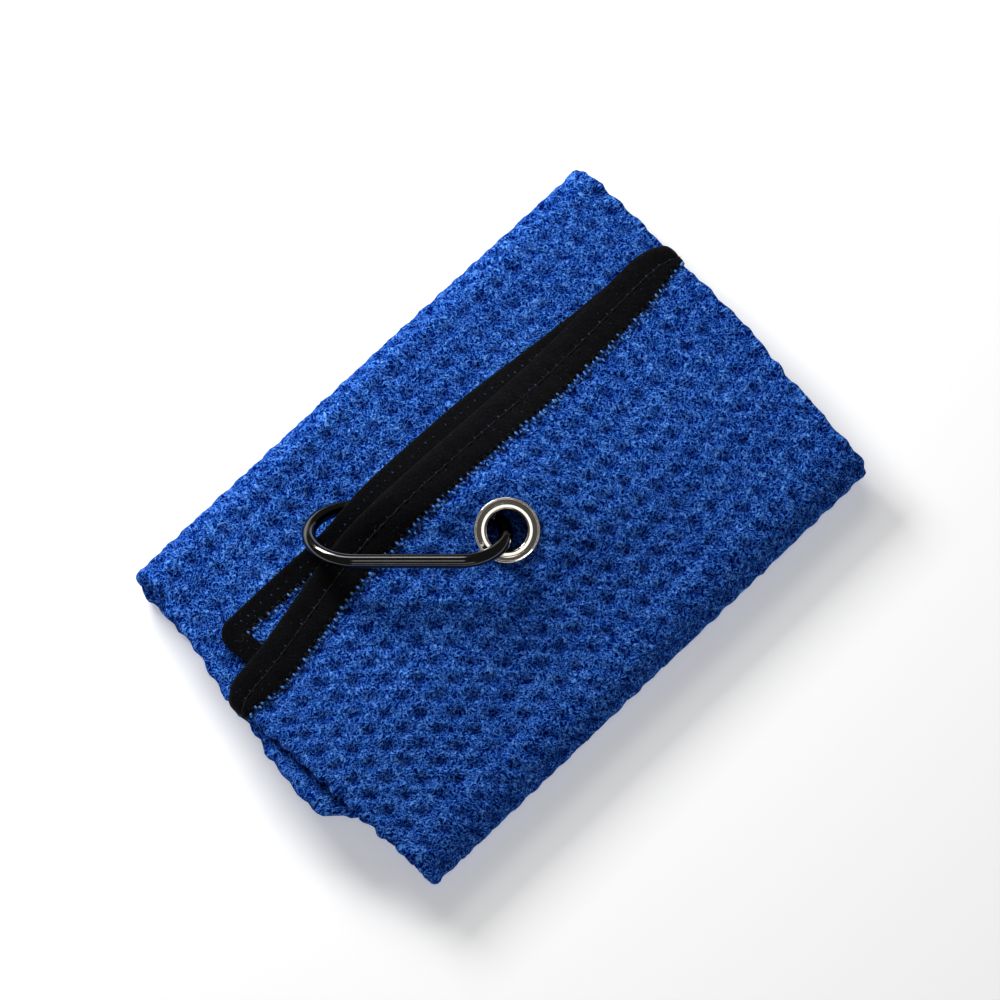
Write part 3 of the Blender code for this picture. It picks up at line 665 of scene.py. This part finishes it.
# ---- materials --------------------------------------------------------------
class Nodes:
    def __init__(self, name):
        self.mat = bpy.data.materials.new(name)
        self.mat.use_nodes = True
        self.tree = self.mat.node_tree
        self.bsdf = self.tree.nodes["Principled BSDF"]

    def add(self, kind, **inputs):
        node = self.tree.nodes.new("ShaderNode" + kind)
        for key, value in inputs.items():
            if key in ("operation", "blend_type", "data_type", "feature", "attribute_name", "uv_map", "noise_dimensions", "voronoi_dimensions"):
                setattr(node, key, value)
            else:
                self.put(node, int(key[1:]) if key[0] == "i" and key[1:].isdigit() else key.replace("_", " "), value)
        return node

    def put(self, node, socket, value):
        target = node.inputs[socket]
        if isinstance(value, bpy.types.NodeSocket):
            self.tree.links.new(value, target)
        else:
            target.default_value = value

    def math(self, op, a, b=0.0, clamp=False):
        node = self.tree.nodes.new("ShaderNodeMath")
        node.operation = op
        node.use_clamp = clamp
        self.put(node, 0, a)
        self.put(node, 1, b)
        return node.outputs[0]

    def ramp(self, fac, stops):
        node = self.tree.nodes.new("ShaderNodeValToRGB")
        self.put(node, 0, fac)
        el = node.color_ramp.elements
        while len(el) < len(stops):
            el.new(0.5)
        for e, (pos, col) in zip(el, stops):
            e.position = pos
            e.color = (*col, 1.0)
        return node.outputs[0]

    def mix(self, kind, fac, a, b):
        node = self.tree.nodes.new("ShaderNodeMix")
        node.data_type = "RGBA"
        node.blend_type = kind
        self.put(node, 0, fac)
        self.put(node, 6, a)
        self.put(node, 7, b)
        return node.outputs[2]

    def set(self, **values):
        for key, value in values.items():
            self.put(self.bsdf, key.replace("_", " "), value)


def lin(r, g, b):
    return tuple(((c / 255) / 12.92 if c / 255 <= 0.04045 else ((c / 255 + 0.055) / 1.055) ** 2.4) for c in (r, g, b))


def waffle_material():
    n = Nodes("blue_waffle_microfibre")
    uv = n.add("UVMap", uv_map="cloth_mm").outputs[0]

    def moved(scale, shift):
        node = n.tree.nodes.new("ShaderNodeMapping")
        n.put(node, 0, uv)
        node.inputs["Location"].default_value = shift
        node.inputs["Scale"].default_value = scale
        return node.outputs[0]

    def strands(shift, scale, width):
        """Bright winding lines, as the tops of looped yarn."""
        noise = n.add("TexNoise", Vector=moved((1.0, 1.0, 1.0), shift), Scale=scale, Detail=0.0, Roughness=0.4, Distortion=0.9)
        off = n.math("ABSOLUTE", n.math("SUBTRACT", noise.outputs[0], 0.5))
        return n.math("SUBTRACT", 1.0, n.math("MULTIPLY", off, width), clamp=True)

    one, two = strands((3.1, 7.7, 0.0), 1.0, 8.0), strands((41.0, 13.3, 5.0), 1.25, 9.0)
    loops = n.math("MAXIMUM", one, n.math("MULTIPLY", two, 0.9))
    fine = n.add("TexNoise", Vector=moved((1.0, 1.0, 1.0), (9.0, 2.0, 1.0)), Scale=2.3, Detail=2.0, Roughness=0.6)
    broad = n.add("TexNoise", Vector=uv, Scale=0.055, Detail=2.0)
    grain = n.math("ADD", n.math("MULTIPLY", loops, 0.62), n.math("MULTIPLY", fine.outputs[0], 0.50))
    col = n.ramp(grain, [(0.20, lin(0, 16, 84)), (0.42, lin(2, 54, 158)), (0.66, lin(24, 94, 208)), (0.90, lin(120, 180, 255))])
    # painted shade: the colour is darkened with the depth of each waffle cell (the pit value, roughened by the
    # grain), and the ridges get a slight painted highlight
    pit = n.add("Attribute", attribute_name="pit").outputs["Fac"]
    pit = n.math("ADD", pit, n.math("MULTIPLY", n.math("SUBTRACT", 0.55, grain), 0.3))
    painted_cell_shade = n.ramp(pit, [(0.02, (1.08, 1.08, 1.06)), (0.45, (0.74, 0.79, 0.86)), (0.90, (0.24, 0.32, 0.50))])
    col = n.mix("MULTIPLY", 1.0, col, painted_cell_shade)
    tint = n.ramp(broad.outputs[0], [(0.3, (0.86, 0.88, 0.93)), (0.7, (1.06, 1.05, 1.03))])
    col = n.mix("MULTIPLY", 1.0, col, tint)
    bump = n.tree.nodes.new("ShaderNodeBump")
    bump.inputs["Strength"].default_value = 0.8
    bump.inputs["Distance"].default_value = 0.00045
    n.put(bump, "Height", grain)
    n.set(Base_Color=col, Roughness=0.92, Normal=bump.outputs[0])
    n.bsdf.inputs["Specular IOR Level"].default_value = 0.0
    n.bsdf.inputs["Sheen Weight"].default_value = 0.0
    n.bsdf.inputs["Sheen Roughness"].default_value = 0.5
    n.bsdf.inputs["Sheen Tint"].default_value = (0.35, 0.6, 1.0, 1.0)
    return n.mat


def plain(name, colour, rough=0.85):
    n = Nodes(name)
    n.set(Base_Color=(*colour, 1.0), Roughness=rough)
    n.bsdf.inputs["Specular IOR Level"].default_value = 0.2
    return n.mat


def binding_material():
    n = Nodes("black_knit_binding")
    uv = n.add("UVMap", uv_map="cloth_mm").outputs[0]
    ribs = n.tree.nodes.new("ShaderNodeMapping")
    n.put(ribs, 0, uv)
    ribs.inputs["Scale"].default_value = (2.4, 0.7, 1.0)
    fine = n.add("TexNoise", Vector=ribs.outputs[0], Scale=1.6, Detail=3.0, Roughness=0.6)
    broad = n.add("TexNoise", Vector=uv, Scale=0.22, Detail=2.0)
    lint = n.add("TexNoise", Vector=uv, Scale=1.9, Detail=1.0)
    col = n.ramp(fine.outputs[0], [(0.30, lin(0, 0, 2)), (0.52, lin(4, 5, 8)), (0.74, lin(18, 19, 25))])
    tint = n.ramp(broad.outputs[0], [(0.3, (0.6, 0.6, 0.62)), (0.7, (1.2, 1.18, 1.2))])
    col = n.mix("MULTIPLY", 1.0, col, tint)
    specks = n.ramp(lint.outputs[0], [(0.735, (0.0, 0.0, 0.0)), (0.78, (1.0, 1.0, 1.0))])
    col = n.mix("MIX", specks, col, (*lin(70, 82, 110), 1.0))
    bump = n.tree.nodes.new("ShaderNodeBump")
    bump.inputs["Strength"].default_value = 1.0
    bump.inputs["Distance"].default_value = 0.0006
    n.put(bump, "Height", fine.outputs[0])
    n.set(Base_Color=col, Roughness=0.9, Normal=bump.outputs[0])
    n.bsdf.inputs["Specular IOR Level"].default_value = 0.08
    n.bsdf.inputs["Sheen Weight"].default_value = 0.04
    n.bsdf.inputs["Sheen Roughness"].default_value = 0.4
    return n.mat


def thread_material():
    n = Nodes("black_thread")
    pos = n.add("TexCoord").outputs["Object"]
    noise = n.add("TexNoise", Vector=pos, Scale=2500.0, Detail=2.0)
    col = n.ramp(noise.outputs[0], [(0.3, lin(4, 4, 6)), (0.7, lin(22, 22, 26))])
    n.set(Base_Color=col, Roughness=0.85)
    n.bsdf.inputs["Specular IOR Level"].default_value = 0.35
    return n.mat


def metal_material(name, colour, rough, spread, wear):
    n = Nodes(name)
    pos = n.add("TexCoord").outputs["Object"]
    smear = n.add("TexNoise", Vector=pos, Scale=220.0, Detail=4.0, Roughness=0.6)
    fine = n.add("TexNoise", Vector=pos, Scale=2600.0, Detail=2.0)
    r = n.math("ADD", n.math("MULTIPLY", smear.outputs[0], spread), rough - spread / 2)
    dark = tuple(c * wear for c in colour)
    col = n.ramp(smear.outputs[0], [(0.3, dark), (0.7, colour)])
    bump = n.tree.nodes.new("ShaderNodeBump")
    bump.inputs["Strength"].default_value = 0.06
    bump.inputs["Distance"].default_value = 0.00002
    n.put(bump, "Height", fine.outputs[0])
    n.set(Base_Color=col, Roughness=r, Normal=bump.outputs[0])
    n.bsdf.inputs["Metallic"].default_value = 1.0
    return n.mat


WAFFLE, BINDING, THREAD = waffle_material(), binding_material(), thread_material()
GUNMETAL = metal_material("black_nickel", (0.085, 0.083, 0.084), 0.12, 0.05, 0.85)
NICKEL = metal_material("bright_nickel", (0.86, 0.79, 0.69), 0.12, 0.05, 0.85)
STEEL = metal_material("spring_steel", (0.45, 0.45, 0.46), 0.3, 0.1, 0.8)


TUFT = plain("cloth_tufts", lin(84, 140, 216))
DIM_TUFT = plain("seam_tufts", lin(54, 74, 116))


def wear(obj, mat):
    obj.data.materials.clear()
    obj.data.materials.append(mat)


for o in (flap_cloth, bundle_cloth):
    wear(o, WAFFLE)
for o in (top_band, bottom_band, *bands.values()):
    wear(o, BINDING)
for o in threads + side_stitches:
    wear(o, THREAD)
for o in (tufts, tufts_far, tufts_back):
    wear(o, TUFT)
for o in (dots, dots_back):
    wear(o, DIM_TUFT)
for o in (eyelet, washer):
    wear(o, NICKEL)
for o in (clip, tongue, nose):
    wear(o, GUNMETAL)
for name, mat in (("clip_gate", GUNMETAL), ("gate_pivot_pin", STEEL), ("gate_nose_pin", STEEL), ("gate_plunger", STEEL), ("gate_spring", STEEL)):
    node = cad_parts[name]
    for slot in node.material_slots:
        slot.material = mat
    if not node.material_slots:
        node.data.materials.append(mat)

# ---- what each piece stands for and moves with -------------------------------
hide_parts("cloth_flap")
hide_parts("cloth_bundle")
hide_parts("top_binding")
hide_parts("bottom_binding")
for key, node in (("left_flap", "left_binding_flap"), ("left_bundle", "left_binding_bundle"), ("right_flap", "right_binding_flap"), ("right_bundle", "right_binding_bundle")):
    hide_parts(node)
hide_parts("grommet_eyelet")
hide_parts("grommet_washer")
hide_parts("clip_frame")

for o in (flap_cloth, bands["left_flap"], bands["right_flap"], *side_stitches):
    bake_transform(o)
for o in (bundle_cloth, bottom_band, bands["left_bundle"], bands["right_bundle"]):
    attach(o, "towel")
for o in (top_band, *threads, tufts, tufts_far, tufts_back, dots, dots_back, eyelet, washer):
    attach(o, "flap")
for o in (clip, tongue, nose):
    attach(o, "clip")

# ---- floor, light, camera ---------------------------------------------------
bpy.ops.mesh.primitive_plane_add(size=6.0, location=(0, 0, -0.0004))
floor = bpy.context.object
floor.name = "floor"
pale = Nodes("pale_floor")
pale.set(Base_Color=(0.93, 0.93, 0.93, 1.0), Roughness=0.9)
pale.bsdf.inputs["Specular IOR Level"].default_value = 0.0
pale.bsdf.inputs["Emission Color"].default_value = (1.0, 1.0, 1.0, 1.0)
pale.bsdf.inputs["Emission Strength"].default_value = 0.35
wear(floor, pale.mat)

AZ, EL = math.radians(-45), math.radians(70)
back = Vector((math.sin(AZ) * math.cos(EL), -math.cos(AZ) * math.cos(EL), math.sin(EL)))
right = Vector((math.cos(AZ), math.sin(AZ), 0))
up = back.cross(right)
if up.z < 0:
    up = -up
target = (Vector((EYE_X, EYE_Y, EYE_Z + 1.5)) + Vector(SHIFT)) * MM + right * (-7 / 4.5 * MM) + up * (28 / 4.5 * MM)
camera_data = bpy.data.cameras.new("camera")
camera_data.lens = 255
camera_data.clip_start = 0.01
camera = bpy.data.objects.new("camera", camera_data)
scene.collection.objects.link(camera)
camera.location = target + back * 1.572
camera.rotation_euler = back.to_track_quat("Z", "Y").to_euler()
scene.camera = camera


def aim(obj, point):
    obj.rotation_euler = (obj.location - Vector(point)).to_track_quat("Z", "Y").to_euler()


def area(name, where, size, power, size_y=None):
    data = bpy.data.lights.new(name, "AREA")
    data.energy = power
    data.size = size
    if size_y:
        data.shape = "RECTANGLE"
        data.size_y = size_y
    obj = bpy.data.objects.new(name, data)
    scene.collection.objects.link(obj)
    obj.location = where
    aim(obj, (0, 0, 0.01))
    return obj


def from_view(r, u, h):
    """A place given by the picture's right and up, on the floor plan, and a height."""
    flat = Vector((ACROSS[0], ACROSS[1], 0))
    return right * r + flat * u + Vector((0, 0, h))


area("key", from_view(-0.25, 0.28, 0.25), 0.20, 2.05, 0.14)
area("top", from_view(-0.2, 0.75, 0.9), 0.6, 3.0, 0.35)
area("fill", from_view(0.12, -0.62, 0.33), 0.5, 0.30, 0.06)
card = area("card", target + back * 0.55, 0.17, 0.14)
aim(card, target)
world = bpy.data.worlds.new("studio")
world.use_nodes = True
world.node_tree.nodes["Background"].inputs[0].default_value = (1, 1, 1, 1)
world.node_tree.nodes["Background"].inputs[1].default_value = 0.08
scene.world = world
scene.view_settings.view_transform = "Standard"
scene.view_settings.look = "None"
